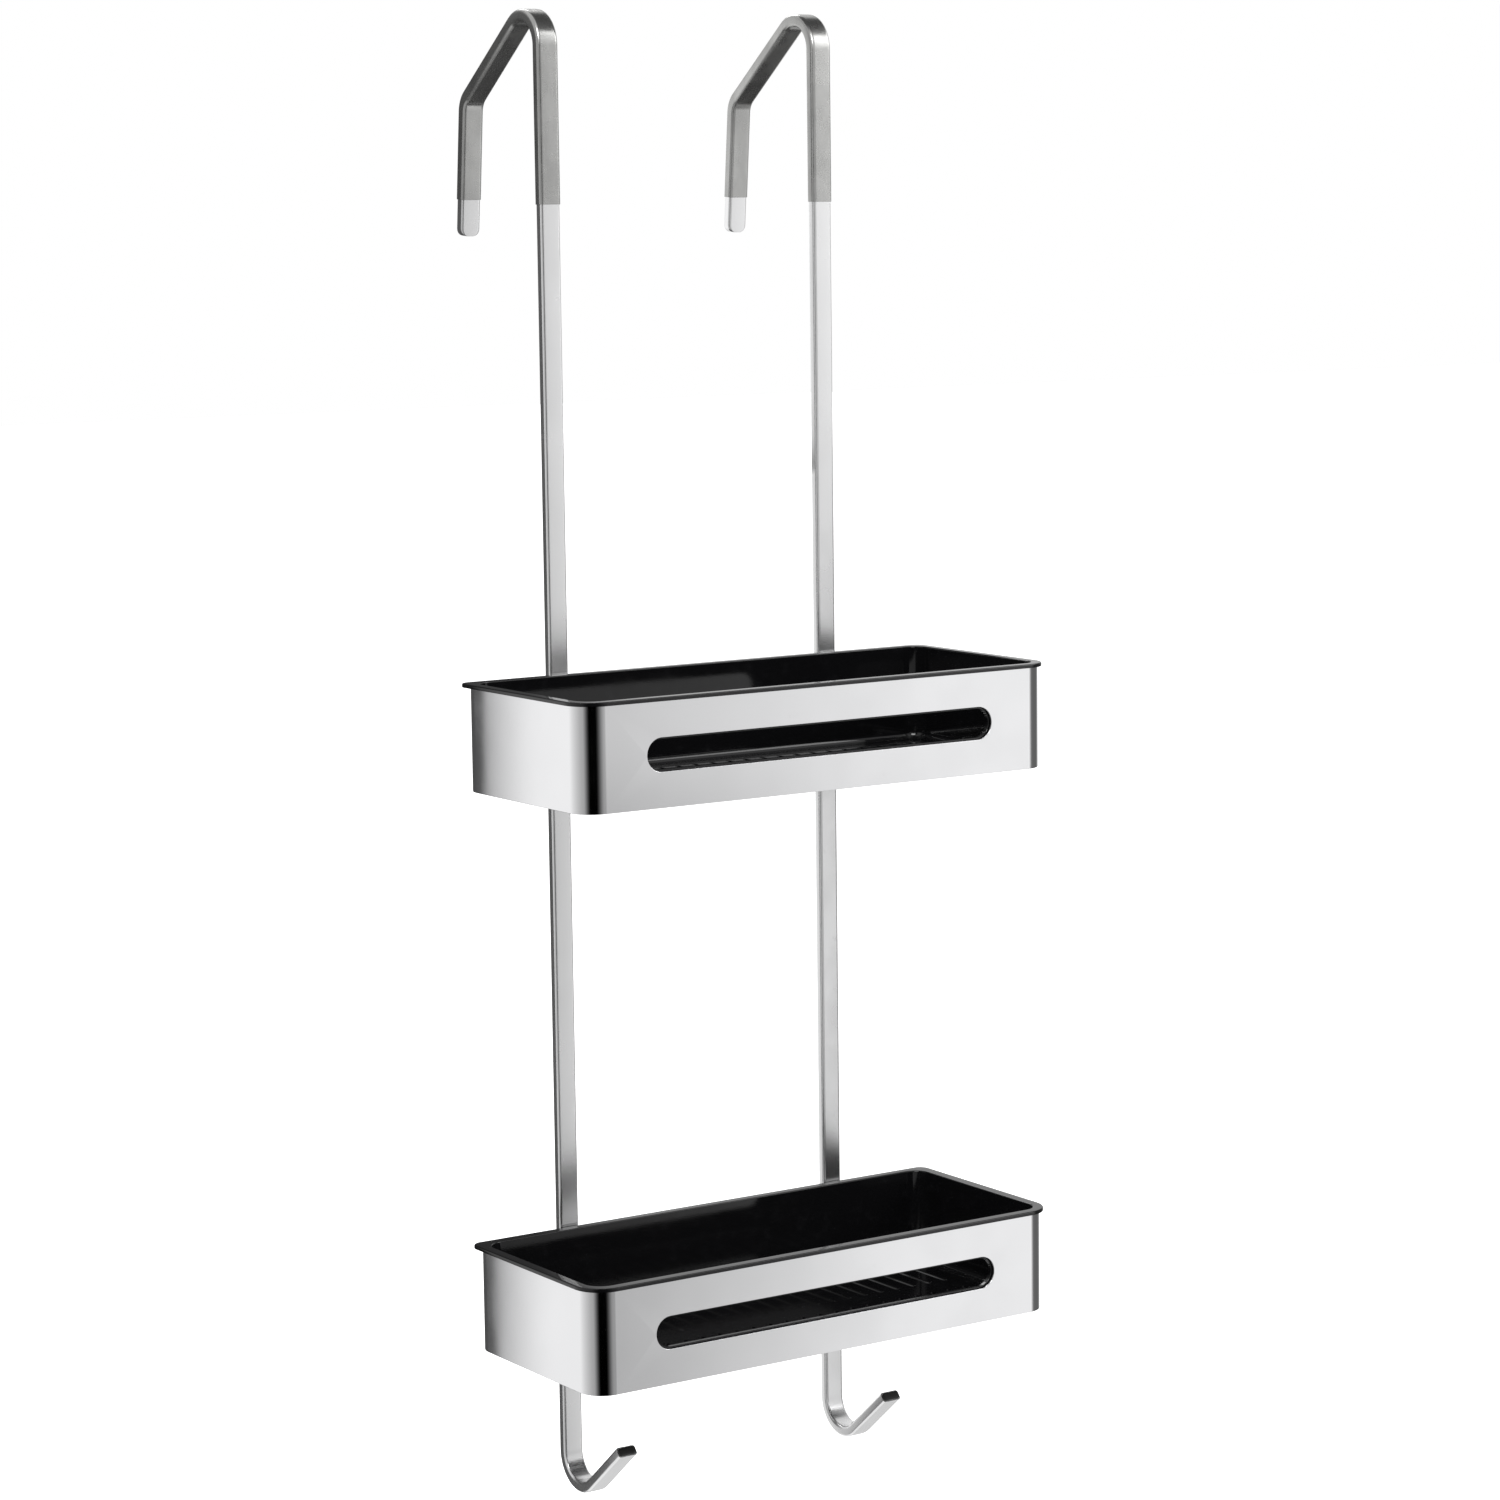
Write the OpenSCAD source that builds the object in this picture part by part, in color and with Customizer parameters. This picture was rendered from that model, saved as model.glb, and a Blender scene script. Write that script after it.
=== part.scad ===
// Over-door shower caddy with two lift-out baskets and two robe hooks.
//
// Two flat bars hook over the top of a door or a shower screen. Each carries both baskets
// on its front face and curls forward at the bottom into a robe hook.
//
// +Z is up, -Y is the front and +X is the right-hand side seen from the front. The origin is
// on the door's top edge: midway between the bars, level with the underside of the sleeved
// hooks, in the plane of the bars' back faces.

/* [Baskets] */
// Width of a basket band, outside
basket_w = 300; // [280:5:360]
// Depth of a basket band, outside
basket_d = 124; // [100:2:150]
// Height of a basket band
basket_h = 56; // [50:1:80]
// Outside radius of the band's upright corners
corner_r = 14; // [10:1:20]
// Thickness of the band's sheet metal
sheet_t = 1.2; // [0.8:0.1:1.5]
// Height from the door's top edge down to the upper band's top edge
upper_drop = 352; // [250:1:500]
// Height from one basket to the next
basket_pitch = 307; // [240:1:400]

/* [Front slot] */
// Length of the slot in the front of a band
slot_w = 222; // [120:1:230]
// Height of the slot, which is also the diameter of its round ends
slot_h = 18; // [10:1:24]

/* [Liner] */
// Thickness of the liner's walls and floor
liner_t = 2; // [1.5:0.1:2.5]
// Thickness of the liner's rim, which rests on the band
rim_t = 2.2; // [1.6:0.1:3]
// How far the rim stands out past the band at the front and the sides
rim_out = 2.2; // [1:0.1:4]
// Radius of the rim's two back corners
rim_back_r = 6; // [2:1:16]
// Gap between the liner's walls and the band
liner_gap = 0.6; // [0.4:0.1:1]
// How much the slot in the liner is smaller than the band's slot, all round
liner_slot_lip = 1; // [0:0.5:3]
// Number of drain slots along each half of the liner's floor
drain_count = 12; // [4:1:14]

/* [Hanger bars] */
// Width of a bar
bar_w = 12; // [10:1:16]
// Thickness of a bar
bar_t = 6; // [6:0.5:8]
// Radius of the bar's long edges
bar_edge_r = 1.6; // [0.5:0.1:2]
// Distance between the middles of the two bars
bar_spacing = 177; // [120:1:220]

/* [Over-door hooks] */
// Inside radius of the bend over the door
top_bend_r = 13.5; // [10:0.5:20]
// Slope of the hook's roof below the horizontal, in degrees
roof_slope = 37; // [20:1:50]
// Length of the hook's sloping roof between its two bends
roof_len = 62; // [20:1:80]
// Inside radius of the bend behind the door
rear_bend_r = 9; // [7:0.5:15]
// Lean of the hook's rear leg away from the door, in degrees
leg_lean = 5; // [0:1:10]
// Length of the rear leg
leg_len = 68; // [50:1:90]

/* [Sleeves] */
// Thickness of the soft sleeve on each hook
sleeve_t = 0.5; // [0.4:0.1:1]
// Length of the sleeve down the front of the bar
sleeve_front_len = 84; // [40:1:120]
// Length of bare bar below the sleeve on the rear leg
bare_leg_len = 20; // [10:1:30]

/* [Robe hooks] */
// Height from the lower band's bottom edge down to the start of the robe hook
robe_drop = 69; // [50:1:120]
// Inside radius of the robe hook
robe_bend_r = 14; // [10:1:20]
// Slope of the robe hook's arm above the horizontal, in degrees
arm_slope = 40; // [30:1:60]
// Length of the robe hook's straight arm
arm_len = 40; // [20:1:60]

/* [Screws] */
// Diameter of the screw's thread
screw_d = 4; // [3:0.5:4]
// Diameter of the screw's head
head_d = 8; // [7:0.5:8]
// Height of the screw's head
head_h = 2.4; // [1.8:0.1:2.4]
// Height between the two screws of a bar
screw_pitch = 24; // [16:1:30]

/* [Hidden] */

$fn = 64;
eps = 0.01;

// Heights of the bends and the bands
top_bend_z = sleeve_t - top_bend_r;
upper_z = -upper_drop;
lower_z = upper_z - basket_pitch;
robe_bend_z = lower_z - basket_h - robe_drop;

// Middle radii of the bends, and how far each one turns
top_mid_r = top_bend_r + bar_t / 2;
rear_mid_r = rear_bend_r + bar_t / 2;
robe_mid_r = robe_bend_r + bar_t / 2;
top_turn = 90 + roof_slope;
rear_turn = 90 - roof_slope - leg_lean;
robe_turn = 90 + arm_slope;

// Each bend is thinner than the straights by join_step all round, and runs join_len into them
join_step = 0.02;
join_len = 0.5;

// Radius of the rounded corners at the rear leg's tip
leg_tip_r = 4;

// The plug: a stem pressed into the bar's end, and a low head that covers most of the end face
plug_stem = [bar_w - 4.4, bar_t - 3.4, 7];
plug_head = [bar_w - 1.4, bar_t - 1.4, 1.2];
plug_edge_r = 1.6;
plug_socket_len = 7.5;

// The liner: its back wall stands clear of the screw heads
screw_room = head_h + liner_gap;
rim_back_gap = 0.4;
floor_lift = 3;
liner_d = basket_d - 2 * sheet_t - liner_gap - screw_room;
liner_w = basket_w - 2 * sheet_t - 2 * liner_gap;
liner_h = basket_h - floor_lift;
liner_r = corner_r - sheet_t - liner_gap;
liner_back = sheet_t + screw_room;
liner_mid_y = -liner_back - liner_d / 2;

// Drain slots: two rows of upright slots in the floor, with a plain strip between the rows
drain_w = 3;
drain_len = 34;
drain_margin = 20;
drain_strip = 16;

// The screws: heads against the inside of the band's back wall, thread in the bar
screw_grip = 4.6;
screw_hole_depth = 5;
screw_clearance = 0.4;
recess = [4.4, 0.9, 1.3];

steel = [0.80, 0.80, 0.82];
sleeve_grey = [0.62, 0.62, 0.61];
black = [0.05, 0.05, 0.055];
screw_steel = [0.70, 0.70, 0.72];

// ---- outlines ----

module rounded_rect(w, h, r) {
    square([w - 2 * r, h], center = true);
    square([w, h - 2 * r], center = true);
    for (x = [-1, 1], y = [-1, 1])
        translate([x * (w / 2 - r), y * (h / 2 - r)])
            circle(r = r);
}

// A slot with round ends, along X
module stadium(len, d) {
    square([len - d, d], center = true);
    for (x = [-1, 1])
        translate([x * (len - d) / 2, 0])
            circle(d = d);
}

// A rounded rectangle whose back corners, on the +Y side, have a radius of their own
module rim_outline(w, d, front_r, back_r) {
    rounded_rect(w, d, front_r);
    translate([0, d / 4])
        rounded_rect(w, d / 2, back_r);
}

// Cross-section of a bar, or of the sleeve around it when $wall is more than zero, with its
// surfaces let in by the given step
module bar_section(step = 0) {
    if ($wall > 0)
        difference() {
            rounded_rect(bar_w + 2 * ($wall - step), bar_t + 2 * ($wall - step), bar_edge_r + $wall - step);
            rounded_rect(bar_w + 2 * step, bar_t + 2 * step, bar_edge_r + step);
        }
    else
        rounded_rect(bar_w - 2 * step, bar_t - 2 * step, bar_edge_r - step);
}

// ---- bent bars: each length draws itself and hands its end on to the next one ----

module straight(len) {
    linear_extrude(len)
        bar_section();
    translate([0, 0, len])
        children();
}

// The far end of a bend that turns from +Z towards +Y
module after_bend(r, turn) {
    translate([0, r * (1 - cos(turn)), r * sin(turn)])
        rotate([-turn, 0, 0])
            children();
}

// A bend is a hair thinner than the straights, and its ends run a little way into them
module bend(r, turn) {
    overlap = join_len / r * 180 / PI;
    translate([0, r, 0])
        rotate([90, 0, -90])
            rotate(-overlap)
                rotate_extrude(angle = turn + 2 * overlap)
                    translate([r, 0])
                        rotate(90)
                            bar_section(join_step);
    after_bend(r, turn)
        children();
}

// The last length of the rear leg, with its corners rounded
module rounded_tip(len) {
    intersection() {
        linear_extrude(len)
            bar_section();
        rotate([90, 0, 0])
            linear_extrude(2 * bar_t, center = true)
                translate([0, len / 2])
                    union() {
                        translate([0, -leg_tip_r / 2])
                            square([2 * bar_w, len - leg_tip_r], center = true);
                        rounded_rect(bar_w, len, leg_tip_r);
                    }
    }
}

// ---- sub-parts ----

// Everything of one bar stands in its own frame: the bar's middle line is at Y = -bar_t / 2
module at_bar(side) {
    translate([side * bar_spacing / 2, -bar_t / 2, 0])
        children();
}

module at_robe_tip() {
    translate([0, 0, robe_bend_z])
        rotate([180, 0, 0])
            after_bend(robe_mid_r, robe_turn)
                translate([0, 0, arm_len])
                    children();
}

// The two screw places of one bar at one basket: +Z points into the bar, from its front face
module at_screws(z) {
    for (step = [-1, 1])
        translate([0, -bar_t / 2, z - basket_h / 2 + step * screw_pitch / 2])
            rotate([-90, 0, 0])
                children();
}

module hanger_bar(side) {
    $wall = 0;
    color(steel)
        at_bar(side)
            difference() {
                union() {
                    translate([0, 0, robe_bend_z])
                        straight(top_bend_z - robe_bend_z)
                            bend(top_mid_r, top_turn)
                                straight(roof_len)
                                    bend(rear_mid_r, rear_turn)
                                        rounded_tip(leg_len);
                    translate([0, 0, robe_bend_z])
                        rotate([180, 0, 0])
                            bend(robe_mid_r, robe_turn)
                                straight(arm_len);
                }
                at_robe_tip()
                    translate([0, 0, -plug_socket_len / 2 + eps / 2])
                        cube([plug_stem[0], plug_stem[1], plug_socket_len + eps], center = true);
                for (z = [upper_z, lower_z])
                    at_screws(z)
                        translate([0, 0, -eps])
                            cylinder(d = screw_d, h = screw_hole_depth + eps);
            }
}

module hook_sleeve(side) {
    $wall = sleeve_t;
    color(sleeve_grey, 0.85)
        at_bar(side)
            translate([0, 0, top_bend_z - sleeve_front_len])
                straight(sleeve_front_len)
                    bend(top_mid_r, top_turn)
                        straight(roof_len)
                            bend(rear_mid_r, rear_turn)
                                straight(leg_len - bare_leg_len);
}

module robe_hook_plug(side) {
    color(black)
        at_bar(side)
            at_robe_tip() {
                translate([0, 0, -plug_stem[2] / 2])
                    cube(plug_stem, center = true);
                linear_extrude(plug_head[2])
                    rounded_rect(plug_head[0], plug_head[1], plug_edge_r);
            }
}

// A basket's frame: X across, -Y forward from the bars' front faces, Z = 0 at the band's top edge
module at_basket(z) {
    translate([0, -bar_t, z])
        children();
}

module basket_band(z) {
    color(steel)
        at_basket(z)
            difference() {
                translate([0, -basket_d / 2, -basket_h])
                    linear_extrude(basket_h)
                        difference() {
                            rounded_rect(basket_w, basket_d, corner_r);
                            rounded_rect(basket_w - 2 * sheet_t, basket_d - 2 * sheet_t, corner_r - sheet_t);
                        }
                translate([0, -basket_d, -basket_h / 2])
                    rotate([90, 0, 0])
                        linear_extrude(3 * sheet_t, center = true)
                            stadium(slot_w, slot_h);
                for (x = [-1, 1], step = [-1, 1])
                    translate([x * bar_spacing / 2, 0, -basket_h / 2 + step * screw_pitch / 2])
                        rotate([90, 0, 0])
                            cylinder(d = screw_d + screw_clearance, h = 3 * sheet_t, center = true);
            }
}

module drain_slots() {
    step = (liner_w - 2 * drain_margin) / (drain_count * 2 - 1);
    for (i = [0 : drain_count * 2 - 1], y = [-1, 1])
        translate([-liner_w / 2 + drain_margin + i * step, y * (drain_len + drain_strip) / 2])
            rotate(90)
                stadium(drain_len, drain_w);
}

module basket_liner(z) {
    rim_w = basket_w + 2 * rim_out;
    rim_d = basket_d + rim_out - rim_back_gap;
    color(black)
        at_basket(z)
            difference() {
                union() {
                    translate([0, -rim_back_gap - rim_d / 2, 0])
                        linear_extrude(rim_t)
                            rim_outline(rim_w, rim_d, corner_r + rim_out, rim_back_r);
                    translate([0, liner_mid_y, -liner_h])
                        linear_extrude(liner_h + eps)
                            rounded_rect(liner_w, liner_d, liner_r);
                }
                translate([0, liner_mid_y, -liner_h + liner_t])
                    linear_extrude(liner_h + rim_t)
                        rounded_rect(liner_w - 2 * liner_t, liner_d - 2 * liner_t, liner_r - liner_t);
                translate([0, liner_mid_y - liner_d / 2, -basket_h / 2])
                    rotate([90, 0, 0])
                        linear_extrude(3 * liner_t, center = true)
                            stadium(slot_w - 2 * liner_slot_lip, slot_h - 2 * liner_slot_lip);
                translate([0, liner_mid_y, -liner_h - eps])
                    linear_extrude(liner_t + 2 * eps)
                        drain_slots();
            }
}

module pan_head_screw() {
    difference() {
        union() {
            rotate_extrude()
                intersection() {
                    square([head_d / 2, head_h]);
                    translate([0, head_h - head_d])
                        circle(r = head_d);
                }
            translate([0, 0, -sheet_t - screw_grip])
                cylinder(d = screw_d, h = sheet_t + screw_grip + eps);
        }
        for (turn = [0, 90])
            rotate(turn)
                translate([0, 0, head_h - recess[2] / 2 + eps])
                    cube(recess, center = true);
    }
}

module band_screws(z) {
    color(screw_steel)
        for (side = [-1, 1])
            at_bar(side)
                at_screws(z)
                    translate([0, 0, -sheet_t])
                        rotate([180, 0, 0])
                            pan_head_screw();
}

hanger_bar(-1);  // left_hanger_bar
hanger_bar(1);  // right_hanger_bar
hook_sleeve(-1);  // left_hook_sleeve
hook_sleeve(1);  // right_hook_sleeve
robe_hook_plug(-1);  // left_robe_hook_plug
robe_hook_plug(1);  // right_robe_hook_plug
basket_band(upper_z);  // upper_basket_band
basket_band(lower_z);  // lower_basket_band
basket_liner(upper_z);  // upper_basket_liner
basket_liner(lower_z);  // lower_basket_liner
band_screws(upper_z);  // upper_band_screws
band_screws(lower_z);  // lower_band_screws
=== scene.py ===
"""Over-door shower caddy: polished bars and bands, black lift-out liners, grey sleeves, in a light studio."""

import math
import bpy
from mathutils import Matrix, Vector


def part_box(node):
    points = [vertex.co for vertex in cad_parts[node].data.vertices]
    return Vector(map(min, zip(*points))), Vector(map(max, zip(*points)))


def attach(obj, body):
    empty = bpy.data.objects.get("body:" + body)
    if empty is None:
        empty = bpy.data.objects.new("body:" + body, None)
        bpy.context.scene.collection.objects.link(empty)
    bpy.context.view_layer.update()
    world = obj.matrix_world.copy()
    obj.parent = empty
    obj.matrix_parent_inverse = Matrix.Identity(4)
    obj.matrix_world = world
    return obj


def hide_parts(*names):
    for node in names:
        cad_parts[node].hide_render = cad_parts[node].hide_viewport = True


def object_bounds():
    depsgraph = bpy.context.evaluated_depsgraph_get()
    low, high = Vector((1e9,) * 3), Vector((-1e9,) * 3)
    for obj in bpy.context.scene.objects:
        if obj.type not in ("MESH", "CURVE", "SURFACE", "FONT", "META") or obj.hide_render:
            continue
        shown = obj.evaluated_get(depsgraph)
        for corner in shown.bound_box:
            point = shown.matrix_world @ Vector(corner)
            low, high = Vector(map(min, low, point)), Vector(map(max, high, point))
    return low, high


bl_info = {
    "name": "Over-Door Shower Caddy",
    "version": (1, 0, 0),
    "blender": (4, 5, 0),
    "location": "View3D > Sidebar > Caddy",
    "description": "Adds the visible pieces of a two-basket over-door shower caddy, and its studio",
    "category": "Add Mesh",
}

import bmesh
import bpy
from bpy.props import FloatProperty, FloatVectorProperty, IntProperty, PointerProperty
from mathutils import Matrix, Vector

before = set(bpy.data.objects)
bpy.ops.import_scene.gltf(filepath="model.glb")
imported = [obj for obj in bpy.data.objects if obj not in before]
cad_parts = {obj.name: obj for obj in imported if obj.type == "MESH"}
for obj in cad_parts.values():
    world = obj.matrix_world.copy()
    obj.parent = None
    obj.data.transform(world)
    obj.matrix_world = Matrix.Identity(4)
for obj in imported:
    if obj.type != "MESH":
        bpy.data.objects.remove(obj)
cad_low, cad_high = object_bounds()

SIDES = ("left", "right")
LEVELS = ("upper", "lower")

# Steps round each kind of curve
ARC_STEPS = 5
CORNER_STEPS = 18
SLOT_END_STEPS = 20
DRAIN_END_STEPS = 4
SCREW_HOLE_STEPS = 24
BEND_STEPS = 28
REAR_BEND_STEPS = 14
TIP_STEPS = 6
RIM_ROUND_STEPS = 3
UNDER_ROUND_STEPS = 2
BASE_ROUND_STEPS = 5
FILLET_STEPS = 6
HEAD_ROUND_STEPS = 4

# Edges that turn by more than this are sharp
SHARP_ANGLE = math.radians(35)

# Places closer together than this count as one
WELD = 1e-6

# The inset for a plug's socket stops this far outside the stem's depth, before it is scaled to the stem
SOCKET_MARGIN = 0.0003

# Noise that isn't stretched along any axis
EVEN = (1.0, 1.0, 1.0)

# Share of a card's height that is soft, at its bottom and at its top
CARD_END_SOFT = 0.12

# Height of a direction above the horizon where the tent's low ring has given way to the high one
TENT_RISE = 0.14


def length_setting(name, description, default):
    return FloatProperty(name=name, description=description, default=default, min=0.0,
                         precision=5, unit="LENGTH", subtype="DISTANCE")


def angle_setting(name, description, degrees):
    return FloatProperty(name=name, description=description, default=math.radians(degrees),
                         unit="ROTATION", subtype="ANGLE")


def colour_setting(name, description, default):
    return FloatVectorProperty(name=name, description=description, default=default, min=0.0,
                               max=1.0, size=3, subtype="COLOR")


class BarSettings(bpy.types.PropertyGroup):
    width: length_setting("Width", "Width of a bar, seen from the front", 0.012)
    thickness: length_setting("Thickness", "Thickness of a bar, front to back", 0.006)
    edge_radius: length_setting("Edge radius", "Radius of a bar's long edges", 0.0016)
    top_bend: length_setting("Top bend", "Inside radius of the bend over the door", 0.0135)
    roof_slope: angle_setting("Roof slope", "Slope of the hook's roof below the horizontal", 37)
    roof_length: length_setting("Roof length", "Length of the hook's sloping roof", 0.062)
    rear_bend: length_setting("Rear bend", "Inside radius of the bend behind the door", 0.009)
    leg_lean: angle_setting("Leg lean", "Lean of the rear leg away from the door", 5)
    leg_length: length_setting("Leg length", "Length of the rear leg", 0.068)
    tip_radius: length_setting("Tip radius", "Radius of the rear leg's rounded tip", 0.004)
    robe_bend: length_setting("Robe bend", "Inside radius of a robe hook", 0.014)
    arm_slope: angle_setting("Arm slope", "Slope of the robe hook's arm above the horizontal", 40)
    arm_length: length_setting("Arm length", "Length of the robe hook's straight arm", 0.040)
    edge_break: length_setting("Edge break", "Rounding of the bar's sharp edges", 0.0004)
    steel: colour_setting("Steel", "Colour of the polished bars", (0.95, 0.95, 0.955))


class SleeveSettings(bpy.types.PropertyGroup):
    thickness: length_setting("Thickness", "Thickness of a sleeve's wall", 0.0005)
    bar_gap: length_setting("Gap", "Gap between a sleeve and its bar", 0.00003)
    front_length: length_setting("Front length", "Length of a sleeve down the front", 0.084)
    bare_length: length_setting("Bare length", "Bare bar below a sleeve on the rear leg", 0.020)
    edge_break: length_setting("Edge break", "Rounding of the sleeve's cut edges", 0.00012)
    film: colour_setting("Film", "Colour of the soft grey film", (0.52, 0.52, 0.51))


class BandSettings(bpy.types.PropertyGroup):
    corner_radius: length_setting("Corner radius", "Outside radius of the corners", 0.014)
    sheet: length_setting("Sheet", "Thickness of the sheet metal", 0.0012)
    slot_length: length_setting("Slot length", "Length of the slot in the front", 0.222)
    slot_height: length_setting("Slot height", "Height of the slot in the front", 0.018)
    hole_diameter: length_setting("Hole diameter", "Diameter of the screw holes", 0.0044)
    hole_spacing: length_setting("Hole spacing", "Height between two screw holes", 0.024)
    edge_break: length_setting("Edge break", "Rounding of the sheet's cut edges", 0.00025)
    steel: colour_setting("Steel", "Colour of the polished sheet", (0.86, 0.86, 0.87))


class LinerSettings(bpy.types.PropertyGroup):
    rim_radius: length_setting("Rim radius", "Radius of the rim's corners", 0.0162)
    rim_back_radius: length_setting("Back corners", "Radius of the rim's back corners", 0.006)
    rim_thickness: length_setting("Rim thickness", "Thickness of the rim", 0.0022)
    shelf: length_setting("Shelf", "How far the rim stands out past the walls", 0.004)
    back_step: length_setting("Back step", "How much less the rim stands out at the back", 0.0002)
    wall: length_setting("Wall", "Thickness of the walls and the floor", 0.002)
    slot_lip: length_setting("Slot lip", "Liner left standing round the band's slot", 0.001)
    rim_round: length_setting("Rim rounding", "Rounding of the rim's upper edges", 0.0007)
    under_round: length_setting("Lower rounding", "Rounding of the rim's lower edges", 0.0003)
    base_round: length_setting("Base rounding", "Rounding of the base's outer edge", 0.003)
    floor_fillet: length_setting("Floor fillet", "Fillet between the walls and the floor", 0.004)
    drain_width: length_setting("Drain width", "Width of a drain slot", 0.003)
    drain_length: length_setting("Drain length", "Length of a drain slot", 0.034)
    drain_margin: length_setting("Drain margin", "From the side wall to the first slot", 0.020)
    drain_strip: length_setting("Drain strip", "Plain strip between the two rows", 0.016)
    drain_count: IntProperty(name="Drain count", description="Number of slots in a row",
                             default=24, min=2, max=28)
    plastic: colour_setting("Plastic", "Colour of the moulded liner", (0.005, 0.005, 0.0055))


class PlugSettings(bpy.types.PropertyGroup):
    head_width: length_setting("Head width", "Width of the plug's head", 0.0106)
    head_depth: length_setting("Head depth", "Depth of the plug's head", 0.0046)
    head_height: length_setting("Head height", "Height of the plug's head", 0.0012)
    head_radius: length_setting("Head radius", "Radius of the head's corners", 0.0016)
    head_round: length_setting("Head rounding", "Rounding of the head's outer edge", 0.0005)
    crown_rise: length_setting("Crown rise", "How far the head's middle is raised", 0.00015)
    crown_inset: length_setting("Crown inset", "Width of the slope round the raised middle", 0.0008)
    stem_width: length_setting("Stem width", "Width of the plug's stem", 0.0076)
    stem_depth: length_setting("Stem depth", "Depth of the plug's stem", 0.0026)
    stem_length: length_setting("Stem length", "Length of the plug's stem", 0.007)
    socket_length: length_setting("Socket length", "Depth of the socket in the bar", 0.0075)
    rubber: colour_setting("Rubber", "Colour of the plug", (0.012, 0.012, 0.012))


class StudioSettings(bpy.types.PropertyGroup):
    azimuth: angle_setting("Azimuth", "The camera's place round the caddy", -33.643)
    elevation: angle_setting("Elevation", "The camera's angle above the horizon", 7.485)
    roll: angle_setting("Roll", "The camera's turn about its own axis", -0.725)
    distance: length_setting("Distance", "From the camera to the point it looks at", 2.2473)
    lens: FloatProperty(name="Lens", description="Focal length on a 36 mm sensor",
                        default=97.526, min=20.0, max=200.0, unit="CAMERA")
    aim: FloatVectorProperty(name="Aim", description="From the caddy's middle to the aim",
                             default=(0.0166, -0.0109, 0.0012), size=3, unit="LENGTH",
                             subtype="TRANSLATION")
    floor_drop: length_setting("Floor drop", "From the caddy's lowest point to the floor", 0.45)
    floor_size: length_setting("Floor size", "Width of the floor", 40.0)


SETTINGS = (
    ("caddy_bar", BarSettings),
    ("caddy_sleeve", SleeveSettings),
    ("caddy_band", BandSettings),
    ("caddy_liner", LinerSettings),
    ("caddy_plug", PlugSettings),
    ("caddy_studio", StudioSettings),
)


# ---- bmesh helpers ----


def of_kind(geom, kind):
    return [item for item in geom if isinstance(item, kind)]


def rounded_face(bm, width, height, radius, steps, place, back_radius=None):
    """Add a flat face with rounded corners. It lies in the local XY plane of place."""
    grid = bmesh.ops.create_grid(bm, x_segments=1, y_segments=1, size=0.5)
    bmesh.ops.scale(bm, verts=grid["verts"], vec=(width, height, 1.0))
    back = [vert for vert in grid["verts"] if vert.co.y > 0.0]
    front = [vert for vert in grid["verts"] if vert.co.y < 0.0]
    for corners, corner_radius in ((front, radius), (back, back_radius or radius)):
        rounded = bmesh.ops.bevel(bm, geom=corners, offset=corner_radius, offset_type="OFFSET",
                                  segments=steps, profile=0.5, affect="VERTICES", material=-1)
    face = rounded["verts"][0].link_faces[0]
    bmesh.ops.transform(bm, matrix=place, verts=face.verts)
    return face


def with_edges(faces):
    edges = {edge for face in faces for edge in face.edges}
    verts = {vert for face in faces for vert in face.verts}
    return [*faces, *sorted(edges, key=lambda e: e.index), *sorted(verts, key=lambda v: v.index)]


def straight(bm, faces, place, length):
    """Extrude the end faces along the local Z axis, and return the new end and its place."""
    bm.edges.index_update()
    bm.verts.index_update()
    grown = bmesh.ops.extrude_face_region(bm, geom=with_edges(faces))
    step = place.to_3x3() @ Vector((0.0, 0.0, length))
    bmesh.ops.translate(bm, verts=of_kind(grown["geom"], bmesh.types.BMVert), vec=step)
    ends = of_kind(grown["geom"], bmesh.types.BMFace)
    return ends, place @ Matrix.Translation((0.0, 0.0, length))


def after_bend(place, radius, turn):
    """The place at the far end of a bend that turns from the local +Z towards +Y."""
    offset = Vector((0.0, radius * (1.0 - math.cos(turn)), radius * math.sin(turn)))
    return place @ Matrix.Translation(offset) @ Matrix.Rotation(-turn, 4, "X")


def bend(bm, faces, place, radius, turn, steps):
    """Spin the end faces round a bend, and return the new end and its place."""
    bm.edges.index_update()
    bm.verts.index_update()
    centre = place @ Vector((0.0, radius, 0.0))
    axis = place.to_3x3() @ Vector((-1.0, 0.0, 0.0))
    spun = bmesh.ops.spin(bm, geom=with_edges(faces), cent=centre, axis=axis, angle=turn,
                          steps=steps, use_merge=False, use_duplicate=False)
    return of_kind(spun["geom_last"], bmesh.types.BMFace), after_bend(place, radius, turn)


def scale_at(bm, faces, place, factors):
    verts = list({vert for face in faces for vert in face.verts})
    bmesh.ops.scale(bm, verts=verts, vec=factors, space=place.inverted())


def creases_at(bm, height):
    """The creased edges that lie at one height."""
    return [edge for edge in bm.edges
            if all(abs(vert.co.z - height) < WELD for vert in edge.verts)
            and edge.calc_face_angle(0.0) > SHARP_ANGLE]


def round_over(bm, edges, radius, steps):
    bmesh.ops.bevel(bm, geom=edges, offset=radius, offset_type="OFFSET", segments=steps,
                    profile=0.5, affect="EDGES", material=-1)


def loop_of(bm, face):
    """Keep a face's outline and drop the face."""
    outline = list(face.edges)
    bmesh.ops.delete(bm, geom=[face], context="FACES_ONLY")
    return outline


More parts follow.
